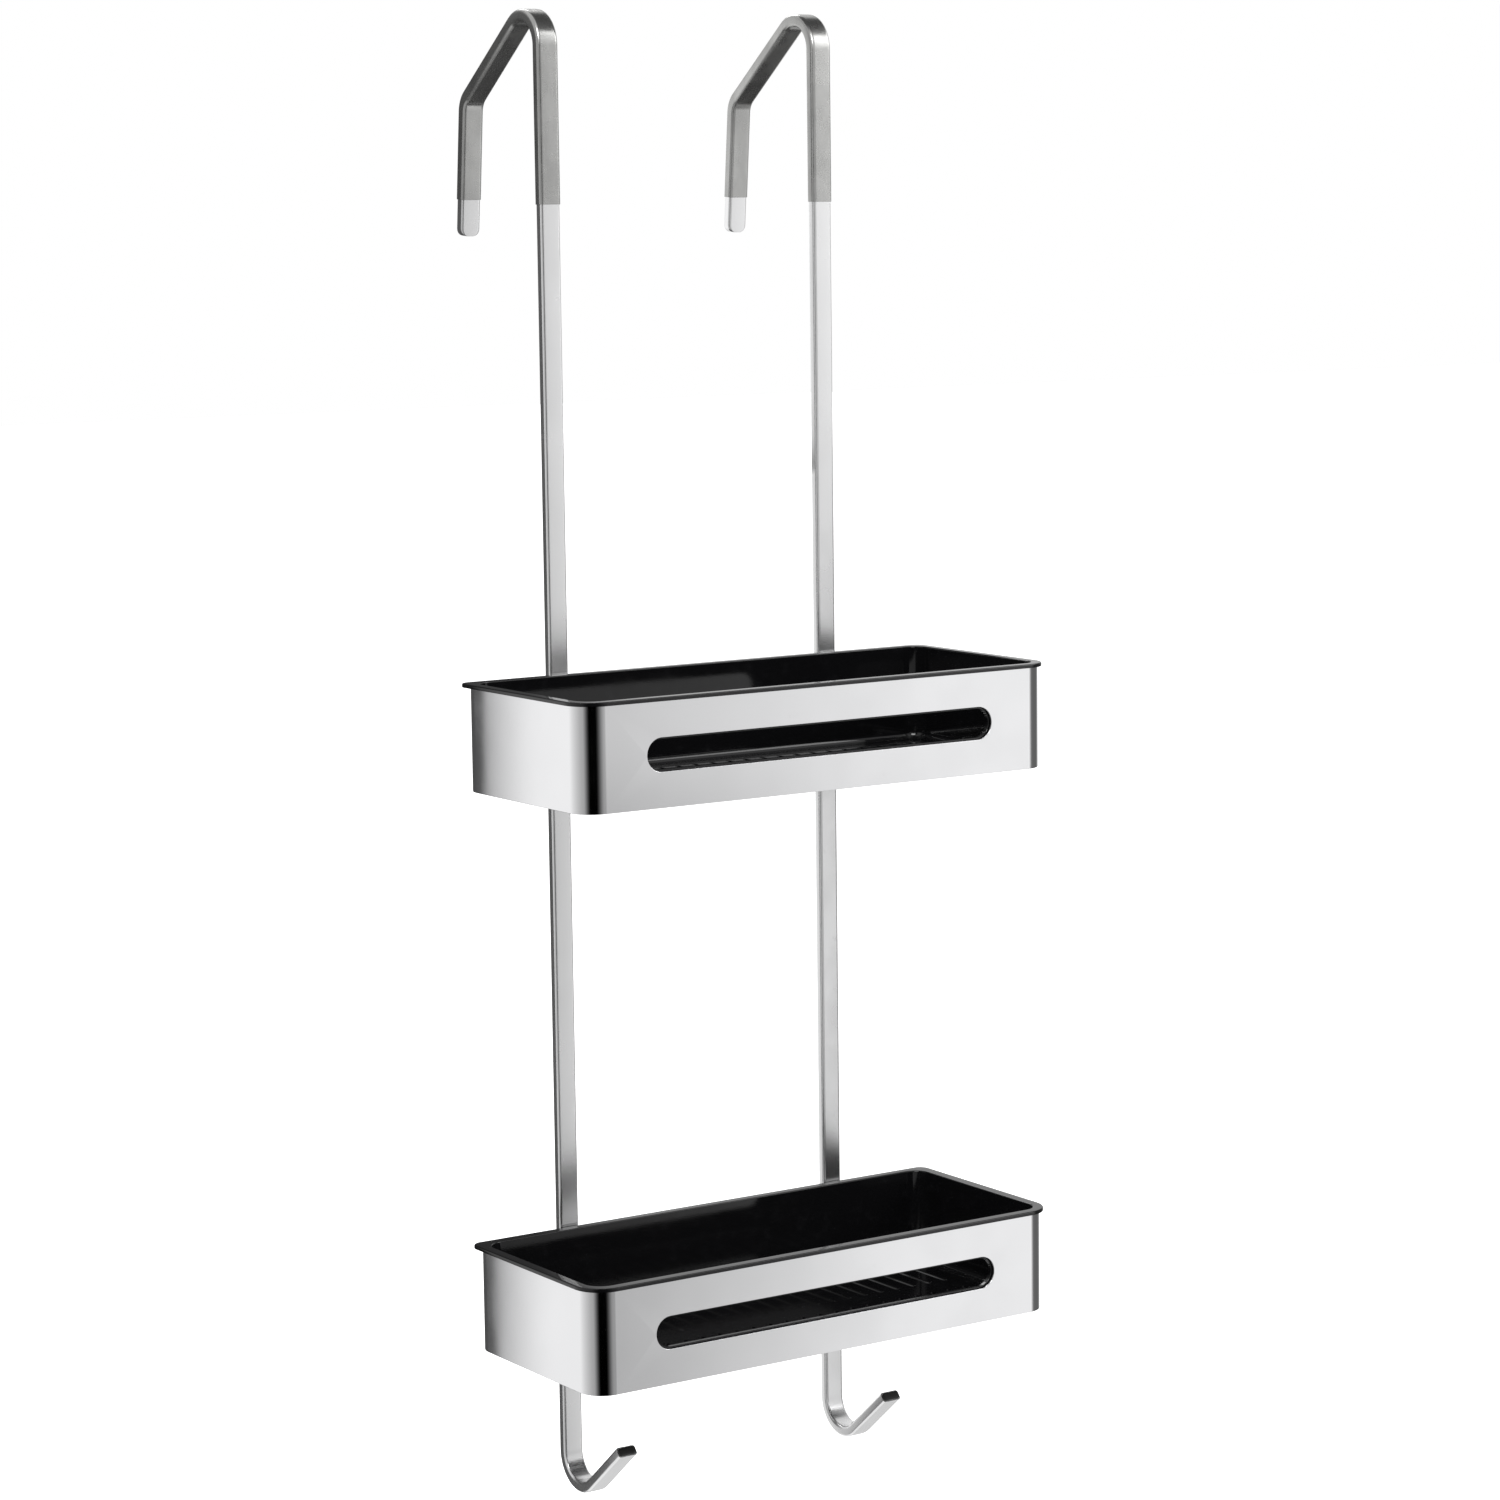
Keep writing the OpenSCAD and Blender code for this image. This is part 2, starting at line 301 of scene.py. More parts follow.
def punch(bm, near, far, outlines, through):
    """Cut holes through a flat wall, from its near face to its far face.

    Each outline is the width, height, radius, steps and place of a rounded hole.
    """
    near_edges = loop_of(bm, near)
    far_edges = loop_of(bm, far)
    for outline in outlines:
        hole = rounded_face(bm, *outline)
        walls = bmesh.ops.extrude_edge_only(bm, edges=list(hole.edges))["geom"]
        moved = of_kind(walls, bmesh.types.BMVert)
        bmesh.ops.translate(bm, verts=moved, vec=through)
        far_edges += [edge for edge in of_kind(walls, bmesh.types.BMEdge)
                      if all(vert in moved for vert in edge.verts)]
        near_edges += loop_of(bm, hole)
    bmesh.ops.triangle_fill(bm, edges=near_edges, use_beauty=True)
    bmesh.ops.triangle_fill(bm, edges=far_edges, use_beauty=True)


def largest_face(bm, axis, depth):
    """The largest face that lies across an axis at one depth."""
    level = [face for face in bm.faces
             if all(abs(vert.co[axis] - depth) < WELD for vert in face.verts)]
    return max(level, key=lambda face: face.calc_area())


def piece_from(bm, name, node, body, material):
    """Turn the finished bmesh into a piece that stands for a node and rides on its body."""
    bmesh.ops.remove_doubles(bm, verts=bm.verts, dist=WELD)
    bmesh.ops.recalc_face_normals(bm, faces=bm.faces)
    for face in bm.faces:
        face.smooth = True
    for edge in bm.edges:
        edge.smooth = edge.calc_face_angle(0.0) < SHARP_ANGLE
    mesh = bpy.data.meshes.new(name)
    bm.to_mesh(mesh)
    bm.free()
    mesh.materials.append(material)
    piece = bpy.data.objects.new(name, mesh)
    bpy.context.scene.collection.objects.link(piece)
    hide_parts(node)
    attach(piece, body)
    return piece


def soften(piece, width):
    """Break the sharp edges, and keep the flat faces looking flat."""
    if width > 0.0:
        edge_break = piece.modifiers.new("edge_break", "BEVEL")
        edge_break.width = width
        edge_break.segments = 2
        edge_break.limit_method = "ANGLE"
        edge_break.angle_limit = SHARP_ANGLE
        edge_break.use_clamp_overlap = True
    flat = piece.modifiers.new("flat_faces", "WEIGHTED_NORMAL")
    flat.keep_sharp = True


# ---- material helpers ----


def new_material(name):
    material = bpy.data.materials.new(name)
    material.use_nodes = True
    tree = material.node_tree
    return material, tree, tree.nodes["Principled BSDF"]


def node_of(tree, kind, **values):
    node = tree.nodes.new(kind)
    for key, value in values.items():
        setattr(node, key, value)
    return node


def set_inputs(node, **values):
    for key, value in values.items():
        node.inputs[key.replace("_", " ").title()].default_value = value


def noise(tree, stretch, scale, detail):
    """Noise on object coordinates, stretched by a factor along each axis."""
    coords = node_of(tree, "ShaderNodeTexCoord")
    mapping = node_of(tree, "ShaderNodeMapping")
    texture = node_of(tree, "ShaderNodeTexNoise")
    mapping.inputs["Scale"].default_value = stretch
    set_inputs(texture, scale=scale, detail=detail, roughness=0.55)
    tree.links.new(coords.outputs["Object"], mapping.inputs["Vector"])
    tree.links.new(mapping.outputs["Vector"], texture.inputs["Vector"])
    return texture.outputs[0]


def ranged(tree, value, low, high, out_low, out_high):
    """Map a value smoothly from one range to another."""
    mapped = node_of(tree, "ShaderNodeMapRange", interpolation_type="SMOOTHSTEP")
    for socket, number in zip(mapped.inputs[1:5], (low, high, out_low, out_high)):
        socket.default_value = number
    tree.links.new(value, mapped.inputs[0])
    return mapped.outputs[0]


def combine(tree, operation, first, second):
    math_node = node_of(tree, "ShaderNodeMath", operation=operation)
    for socket, source in zip(math_node.inputs, (first, second)):
        if isinstance(source, float):
            socket.default_value = source
        else:
            tree.links.new(source, socket)
    return math_node.outputs[0]


def tinted(tree, value, dark, light):
    """Blend two colours by a value between 0 and 1."""
    mix = node_of(tree, "ShaderNodeMix", data_type="RGBA")
    mix.inputs[6].default_value = (*dark, 1.0)
    mix.inputs[7].default_value = (*light, 1.0)
    tree.links.new(value, mix.inputs[0])
    return mix.outputs[2]


def bumped(tree, height, distance, strength, below=None):
    bump = node_of(tree, "ShaderNodeBump")
    bump.inputs["Strength"].default_value = strength
    bump.inputs["Distance"].default_value = distance
    tree.links.new(height, bump.inputs["Height"])
    if below is not None:
        tree.links.new(below, bump.inputs["Normal"])
    return bump.outputs["Normal"]


def shaded(colour, factor):
    return tuple(min(1.0, channel * factor) for channel in colour)


def polished_steel(name, colour, polish_stretch, rough_low, rough_high):
    """Mirror-polished stainless steel: faint waviness, polishing lines and wiped smears."""
    material, tree, bsdf = new_material(name)
    set_inputs(bsdf, metallic=1.0)
    smears = ranged(tree, noise(tree, EVEN, 24.0, 4.0), 0.35, 0.70, rough_low, rough_high)
    lines = noise(tree, polish_stretch, 1.0, 3.0)
    scuffs = ranged(tree, noise(tree, EVEN, 160.0, 5.0), 0.62, 0.80, 0.0, 0.07)
    tree.links.new(combine(tree, "ADD", smears, scuffs), bsdf.inputs["Roughness"])
    tint = ranged(tree, noise(tree, EVEN, 9.0, 2.0), 0.30, 0.70, 0.0, 1.0)
    tree.links.new(tinted(tree, tint, shaded(colour, 0.955), colour), bsdf.inputs["Base Color"])
    waves = bumped(tree, noise(tree, EVEN, 26.0, 1.0), 0.00010, 0.35)
    tree.links.new(bumped(tree, lines, 0.00001, 0.14, waves), bsdf.inputs["Normal"])
    return material


def moulded_plastic(name, colour, rough_low, rough_high):
    """Black moulded plastic: fine skin texture, cloudy gloss and a little dust."""
    material, tree, bsdf = new_material(name)
    clouds = ranged(tree, noise(tree, EVEN, 30.0, 4.0), 0.30, 0.70, rough_low, rough_high)
    specks = ranged(tree, noise(tree, EVEN, 900.0, 2.0), 0.66, 0.80, 0.0, 0.12)
    tree.links.new(combine(tree, "ADD", clouds, specks), bsdf.inputs["Roughness"])
    dust = ranged(tree, noise(tree, EVEN, 140.0, 6.0), 0.50, 0.85, 0.0, 1.0)
    tree.links.new(tinted(tree, dust, colour, shaded(colour, 1.9)), bsdf.inputs["Base Color"])
    skin = bumped(tree, noise(tree, EVEN, 1400.0, 2.0), 0.00002, 0.3)
    flow = bumped(tree, noise(tree, EVEN, 34.0, 1.0), 0.00008, 0.25, skin)
    tree.links.new(flow, bsdf.inputs["Normal"])
    return material


def sleeve_film(name, colour):
    """Soft grey film shrunk on to the bar: satin, slightly cloudy, with fine streaks."""
    material, tree, bsdf = new_material(name)
    set_inputs(bsdf, metallic=0.95, coat_weight=0.15, coat_roughness=0.3)
    gloss = ranged(tree, noise(tree, EVEN, 60.0, 4.0), 0.30, 0.72, 0.22, 0.32)
    tree.links.new(gloss, bsdf.inputs["Roughness"])
    cloud = ranged(tree, noise(tree, (1.0, 1.0, 0.4), 70.0, 5.0), 0.30, 0.72, 0.0, 1.0)
    tree.links.new(tinted(tree, cloud, shaded(colour, 0.86), shaded(colour, 1.08)),
                   bsdf.inputs["Base Color"])
    streaks = bumped(tree, noise(tree, (1.0, 1.0, 0.06), 620.0, 2.0), 0.00002, 0.20)
    tree.links.new(streaks, bsdf.inputs["Normal"])
    return material


def screw_finish(name):
    """Zinc-bright screw steel: turned, duller than the bars, with driver marks."""
    material, tree, bsdf = new_material(name)
    set_inputs(bsdf, metallic=1.0)
    gloss = ranged(tree, noise(tree, EVEN, 500.0, 4.0), 0.30, 0.70, 0.22, 0.42)
    tree.links.new(gloss, bsdf.inputs["Roughness"])
    wear = ranged(tree, noise(tree, EVEN, 800.0, 5.0), 0.45, 0.70, 0.0, 1.0)
    tree.links.new(tinted(tree, wear, (0.60, 0.60, 0.62), (0.78, 0.78, 0.80)),
                   bsdf.inputs["Base Color"])
    marks = bumped(tree, noise(tree, (1.0, 1.0, 6.0), 900.0, 3.0), 0.00002, 0.5)
    tree.links.new(marks, bsdf.inputs["Normal"])
    return material


# ---- places taken from the frame ----


def bar_base(node, bar):
    """The place where a robe hook's bend starts: +Z runs up the bar, +Y points to the door."""
    low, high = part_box(node)
    lowest = low.z + bar.robe_bend + bar.thickness
    return Matrix.Translation(((low.x + high.x) / 2, -bar.thickness / 2, lowest))


def top_bend_height(node, bar):
    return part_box(node)[1].z - bar.top_bend - bar.thickness


def robe_start(node, bar):
    return bar_base(node, bar) @ Matrix.Rotation(math.pi, 4, "X")


def robe_tip(node, bar):
    turned = after_bend(robe_start(node, bar), bar.robe_bend + bar.thickness / 2,
                        math.pi / 2 + bar.arm_slope)
    return turned @ Matrix.Translation((0.0, 0.0, bar.arm_length))


def hook_over_door(bm, ends, place, bar, leg_length):
    """The bend over the door, the sloping roof, the bend behind and the rear leg."""
    half = bar.thickness / 2
    ends, place = bend(bm, ends, place, bar.top_bend + half, math.pi / 2 + bar.roof_slope,
                       BEND_STEPS)
    ends, place = straight(bm, ends, place, bar.roof_length)
    turn = math.pi / 2 - bar.roof_slope - bar.leg_lean
    ends, place = bend(bm, ends, place, bar.rear_bend + half, turn, REAR_BEND_STEPS)
    return straight(bm, ends, place, leg_length)


# ---- operators ----


class CADDY_OT_add_stage(bpy.types.Operator):
    """Add the camera, the lights, the pale floor and the cards that the metal reflects"""

    bl_idname = "caddy.add_stage"
    bl_label = "Add Stage"

    def execute(self, context):
        studio = context.scene.caddy_studio
        self.add_camera(context, studio)
        self.add_floor(context, studio)
        self.add_world(context)
        self.add_cards(context)
        self.add_lights(context)
        context.scene.view_settings.view_transform = "Standard"
        return {"FINISHED"}

    def add_camera(self, context, studio):
        azimuth = studio.azimuth
        elevation = studio.elevation
        right = Vector((math.cos(azimuth), math.sin(azimuth), 0.0))
        back = Vector((math.sin(azimuth) * math.cos(elevation),
                       -math.cos(azimuth) * math.cos(elevation), math.sin(elevation)))
        turned = Matrix((right, back.cross(right), back)).transposed().to_4x4()
        aim = (cad_low + cad_high) / 2 + Vector(studio.aim)
        data = bpy.data.cameras.new("camera")
        data.lens = studio.lens
        data.clip_end = 100.0
        camera = bpy.data.objects.new("camera", data)
        camera.matrix_world = (Matrix.Translation(aim + back * studio.distance) @ turned
                               @ Matrix.Rotation(studio.roll, 4, "Z"))
        context.scene.collection.objects.link(camera)
        context.scene.camera = camera

    def add_floor(self, context, studio):
        bm = bmesh.new()
        bmesh.ops.create_grid(bm, x_segments=8, y_segments=8, size=studio.floor_size / 2)
        bmesh.ops.translate(bm, verts=bm.verts, vec=(0.0, 0.0, cad_low.z - studio.floor_drop))
        mesh = bpy.data.meshes.new("floor")
        bm.to_mesh(mesh)
        bm.free()
        material, tree, bsdf = new_material("pale_floor")
        bsdf.inputs["Emission Color"].default_value = (1.0, 1.0, 1.0, 1.0)
        set_inputs(bsdf, emission_strength=0.9)
        tone = ranged(tree, noise(tree, EVEN, 3.0, 4.0), 0.3, 0.7, 0.0, 1.0)
        tree.links.new(tinted(tree, tone, (0.90, 0.90, 0.90), (0.92, 0.92, 0.92)),
                       bsdf.inputs["Base Color"])
        mesh.materials.append(material)
        floor = bpy.data.objects.new("floor", mesh)
        floor.visible_glossy = False
        floor.visible_diffuse = False
        context.scene.collection.objects.link(floor)

    def add_world(self, context):
        """White behind the caddy, and a tent of softer tones all round for the metal to show."""
        world = bpy.data.worlds.new("studio")
        world.use_nodes = True
        context.scene.world = world
        tree = world.node_tree
        background = tree.nodes["Background"]
        coords = node_of(tree, "ShaderNodeTexCoord")
        axes = node_of(tree, "ShaderNodeSeparateXYZ")
        tree.links.new(coords.outputs["Generated"], axes.inputs[0])
        left = combine(tree, "MULTIPLY", axes.outputs[0], -1.0)
        forward = combine(tree, "MULTIPLY", axes.outputs[1], -1.0)
        turn = combine(tree, "ARCTAN2", left, forward)
        round_turn = combine(tree, "MULTIPLY_ADD", turn, 1.0 / (2.0 * math.pi))
        round_turn.node.inputs[2].default_value = 0.5
        low_tent = self.tent(tree, round_turn, LOW_TENT)
        high_tent = self.tent(tree, round_turn, HIGH_TENT)
        rise = ranged(tree, axes.outputs[2], 0.0, TENT_RISE, 0.0, 1.0)
        tones = node_of(tree, "ShaderNodeMix", data_type="RGBA")
        tree.links.new(rise, tones.inputs[0])
        tree.links.new(low_tent, tones.inputs[6])
        tree.links.new(high_tent, tones.inputs[7])
        path = node_of(tree, "ShaderNodeLightPath")
        seen = node_of(tree, "ShaderNodeMix", data_type="RGBA")
        tree.links.new(path.outputs["Is Camera Ray"], seen.inputs[0])
        tree.links.new(tones.outputs[2], seen.inputs[6])
        seen.inputs[7].default_value = (1.0, 1.0, 1.0, 1.0)
        tree.links.new(seen.outputs[2], background.inputs["Color"])

    def tent(self, tree, around, tones):
        """One ring of the tent: a tone for each direction, in degrees from the front."""
        ramp = node_of(tree, "ShaderNodeValToRGB")
        ramp.color_ramp.interpolation = "B_SPLINE"
        elements = ramp.color_ramp.elements
        for degrees, tone in tones[1:-1]:
            elements.new(degrees / 360.0 + 0.5).color = (tone, tone, tone, 1.0)
        for element, (degrees, tone) in ((elements[0], tones[0]), (elements[-1], tones[-1])):
            element.color = (tone, tone, tone, 1.0)
        tree.links.new(around, ramp.inputs[0])
        return ramp.outputs[0]

    def add_cards(self, context):
        """Soft-edged dark cards close to the corners, seen only in reflections."""
        for name, middle, (tilt, turn), size, soft, tone, depth in CARDS:
            bm = bmesh.new()
            bm.loops.layers.uv.new("card")
            grid = bmesh.ops.create_grid(bm, x_segments=1, y_segments=1, size=0.5, calc_uvs=True)
            place = (Matrix.Translation(middle) @ Matrix.Rotation(math.radians(turn), 4, "Z")
                     @ Matrix.Rotation(math.radians(tilt), 4, "X")
                     @ Matrix.Diagonal((*size, 1.0, 1.0)))
            bmesh.ops.transform(bm, matrix=place, verts=grid["verts"])
            mesh = bpy.data.meshes.new(name)
            bm.to_mesh(mesh)
            bm.free()
            mesh.materials.append(self.card_material(name, soft, tone, depth))
            card = bpy.data.objects.new(name, mesh)
            for ray in ("camera", "diffuse", "transmission", "volume_scatter", "shadow"):
                setattr(card, f"visible_{ray}", False)
            context.scene.collection.objects.link(card)

    def card_material(self, name, soft, tone, depth):
        material = bpy.data.materials.new(name)
        material.use_nodes = True
        tree = material.node_tree
        tree.nodes.remove(tree.nodes["Principled BSDF"])
        coords = node_of(tree, "ShaderNodeTexCoord")
        axes = node_of(tree, "ShaderNodeSeparateXYZ")
        tree.links.new(coords.outputs["UV"], axes.inputs[0])
        left = ranged(tree, axes.outputs[0], 0.0, soft[0], 0.0, 1.0)
        right = ranged(tree, axes.outputs[0], 1.0 - soft[1], 1.0, 1.0, 0.0)
        bottom = ranged(tree, axes.outputs[1], 0.0, CARD_END_SOFT, 0.0, 1.0)
        top = ranged(tree, axes.outputs[1], 1.0 - CARD_END_SOFT, 1.0, 1.0, 0.0)
        across = combine(tree, "MULTIPLY", left, right)
        along = combine(tree, "MULTIPLY", bottom, top)
        cover = combine(tree, "MULTIPLY", across, along)
        cover = combine(tree, "MULTIPLY", cover, depth)
        clear = node_of(tree, "ShaderNodeBsdfTransparent")
        glow = node_of(tree, "ShaderNodeEmission")
        glow.inputs["Color"].default_value = (tone, tone, tone, 1.0)
        blend = node_of(tree, "ShaderNodeMixShader")
        tree.links.new(cover, blend.inputs[0])
        tree.links.new(clear.outputs[0], blend.inputs[1])
        tree.links.new(glow.outputs[0], blend.inputs[2])
        tree.links.new(blend.outputs[0], tree.nodes["Material Output"].inputs["Surface"])
        return material

    def add_lights(self, context):
        """Large soft lights, aimed at the caddy's middle."""
        middle = (cad_low + cad_high) / 2
        for name, place, size, power in LIGHTS:
            data = bpy.data.lights.new(name, "AREA")
            data.shape = "RECTANGLE"
            data.size = size[0]
            data.size_y = size[1]
            data.energy = power
            light = bpy.data.objects.new(name, data)
            light.location = place
            light.rotation_euler = (middle - Vector(place)).to_track_quat("-Z", "Y").to_euler()
            context.scene.collection.objects.link(light)


class CADDY_OT_add_bars(bpy.types.Operator):
    """Add the two bent bars, each with its hook over the door and its robe hook"""

    bl_idname = "caddy.add_bars"
    bl_label = "Add Bars"

    def execute(self, context):
        bar = context.scene.caddy_bar
        plug = context.scene.caddy_plug
        steel = polished_steel("polished_bar", bar.steel, (900.0, 900.0, 30.0), 0.22, 0.28)
        for side in SIDES:
            node = f"{side}_hanger_bar"
            bm = bmesh.new()
            base = bar_base(node, bar)
            start = rounded_face(bm, bar.width, bar.thickness, bar.edge_radius, ARC_STEPS, base)
            rise = top_bend_height(node, bar) - base.translation.z
            ends, place = straight(bm, [start], base, rise)
            ends, place = hook_over_door(bm, ends, place, bar, bar.leg_length - bar.tip_radius)
            self.round_tip(bm, ends, place, bar)
            ends, place = bend(bm, [start], robe_start(node, bar),
                               bar.robe_bend + bar.thickness / 2, math.pi / 2 + bar.arm_slope,
                               BEND_STEPS)
            ends, place = straight(bm, ends, place, bar.arm_length)
            self.cut_socket(bm, ends, place, bar, plug)
            piece = piece_from(bm, f"{side}_bar_polished", node, "hanger", steel)
            soften(piece, bar.edge_break)
        return {"FINISHED"}

    def round_tip(self, bm, ends, place, bar):
        """Narrow the last stretch of the rear leg along a quarter round."""
        reach = 0.0
        width = bar.width
        for step in range(1, TIP_STEPS + 1):
            angle = math.pi / 2 * step / TIP_STEPS
            next_reach = bar.tip_radius * math.sin(angle)
            next_width = bar.width - 2.0 * bar.tip_radius * (1.0 - math.cos(angle))
            ends, place = straight(bm, ends, place, next_reach - reach)
            scale_at(bm, ends, place, (next_width / width, 1.0, 1.0))
            reach = next_reach
            width = next_width

    def cut_socket(self, bm, ends, place, bar, plug):
        """Sink the socket for the plug's stem into the end of the robe hook."""
        lip = (bar.thickness - plug.stem_depth) / 2 - SOCKET_MARGIN
        bmesh.ops.inset_region(bm, faces=ends, thickness=lip, use_even_offset=True)
        scale_at(bm, ends, place, (plug.stem_width / (bar.width - 2.0 * lip),
                                   plug.stem_depth / (bar.thickness - 2.0 * lip), 1.0))
        straight(bm, ends, place, -plug.socket_length)


class CADDY_OT_add_sleeves(bpy.types.Operator):
    """Add the soft sleeves over the hooks"""

    bl_idname = "caddy.add_sleeves"
    bl_label = "Add Sleeves"

    def execute(self, context):
        bar = context.scene.caddy_bar
        sleeve = context.scene.caddy_sleeve
        film = sleeve_film("sleeve_film", sleeve.film)
        wall = sleeve.thickness
        for side in SIDES:
            node = f"{side}_hook_sleeve"
            bar_node = f"{side}_hanger_bar"
            bm = bmesh.new()
            base = bar_base(bar_node, bar)
            bend_start = top_bend_height(bar_node, bar)
            base.translation.z = bend_start - sleeve.front_length
            outline = rounded_face(bm, bar.width + 2.0 * wall, bar.thickness + 2.0 * wall,
                                   bar.edge_radius + wall, ARC_STEPS, base)
            ring = bmesh.ops.inset_region(bm, faces=[outline], thickness=wall - sleeve.bar_gap,
                                          use_boundary=True, use_even_offset=True)["faces"]
            loop_of(bm, outline)
            ends, place = straight(bm, ring, base, sleeve.front_length)
            hook_over_door(bm, ends, place, bar, bar.leg_length - sleeve.bare_length)
            piece = piece_from(bm, f"{side}_sleeve_film", node, "hanger", film)
            soften(piece, sleeve.edge_break)
        return {"FINISHED"}


class CADDY_OT_add_bands(bpy.types.Operator):
    """Add the two sheet-metal bands with their front slots"""

    bl_idname = "caddy.add_bands"
    bl_label = "Add Bands"

    def execute(self, context):
        band = context.scene.caddy_band
        steel = polished_steel("polished_band", band.steel, (30.0, 30.0, 900.0), 0.075, 0.13)
        bar_boxes = [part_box(f"{side}_hanger_bar") for side in SIDES]
        bar_middles = [(low.x + high.x) / 2 for low, high in bar_boxes]
        for level in LEVELS:
            node = f"{level}_basket_band"
            low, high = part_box(node)
            middle = (low + high) / 2
            bm = bmesh.new()
            top = Matrix.Translation((middle.x, middle.y, high.z))
            outline = rounded_face(bm, high.x - low.x, high.y - low.y, band.corner_radius,
                                   CORNER_STEPS, top)
            walls = bmesh.ops.extrude_edge_only(bm, edges=list(outline.edges))
            bmesh.ops.translate(bm, verts=of_kind(walls["geom"], bmesh.types.BMVert),
                                vec=(0.0, 0.0, low.z - high.z))
            loop_of(bm, outline)
            self.cut_front(bm, band, low, middle)
            self.cut_back(bm, band, high, middle, bar_middles)
            piece = piece_from(bm, f"{level}_band_polished", node, "hanger", steel)
            wall = piece.modifiers.new("sheet", "SOLIDIFY")
            wall.thickness = band.sheet
            wall.offset = -1.0
            wall.use_even_offset = True
            soften(piece, band.edge_break)
        return {"FINISHED"}

    def cut_front(self, bm, band, low, middle):
        place = Matrix.Translation((middle.x, low.y, middle.z)) @ Matrix.Rotation(math.pi / 2, 4, "X")
        slot = rounded_face(bm, band.slot_length, band.slot_height, band.slot_height / 2 - WELD,
                            SLOT_END_STEPS, place)
        self.fill_wall(bm, low.y, loop_of(bm, slot))

    def cut_back(self, bm, band, high, middle, bar_middles):
        outlines = []
        for across in bar_middles:
            for side in (-0.5, 0.5):
                place = (Matrix.Translation((across, high.y, middle.z + side * band.hole_spacing))
                         @ Matrix.Rotation(math.pi / 2, 4, "X"))
                made = bmesh.ops.create_circle(bm, segments=SCREW_HOLE_STEPS,
                                               radius=band.hole_diameter / 2, matrix=place)
                outlines += {edge for vert in made["verts"] for edge in vert.link_edges}
        self.fill_wall(bm, high.y, outlines)

    def fill_wall(self, bm, depth, outlines):
        """Swap the flat wall at this depth for one with holes."""
        wall = next(face for face in bm.faces
                    if all(abs(vert.co.y - depth) < WELD for vert in face.verts))
        edges = loop_of(bm, wall) + outlines
        bmesh.ops.triangle_fill(bm, edges=edges, use_beauty=True)


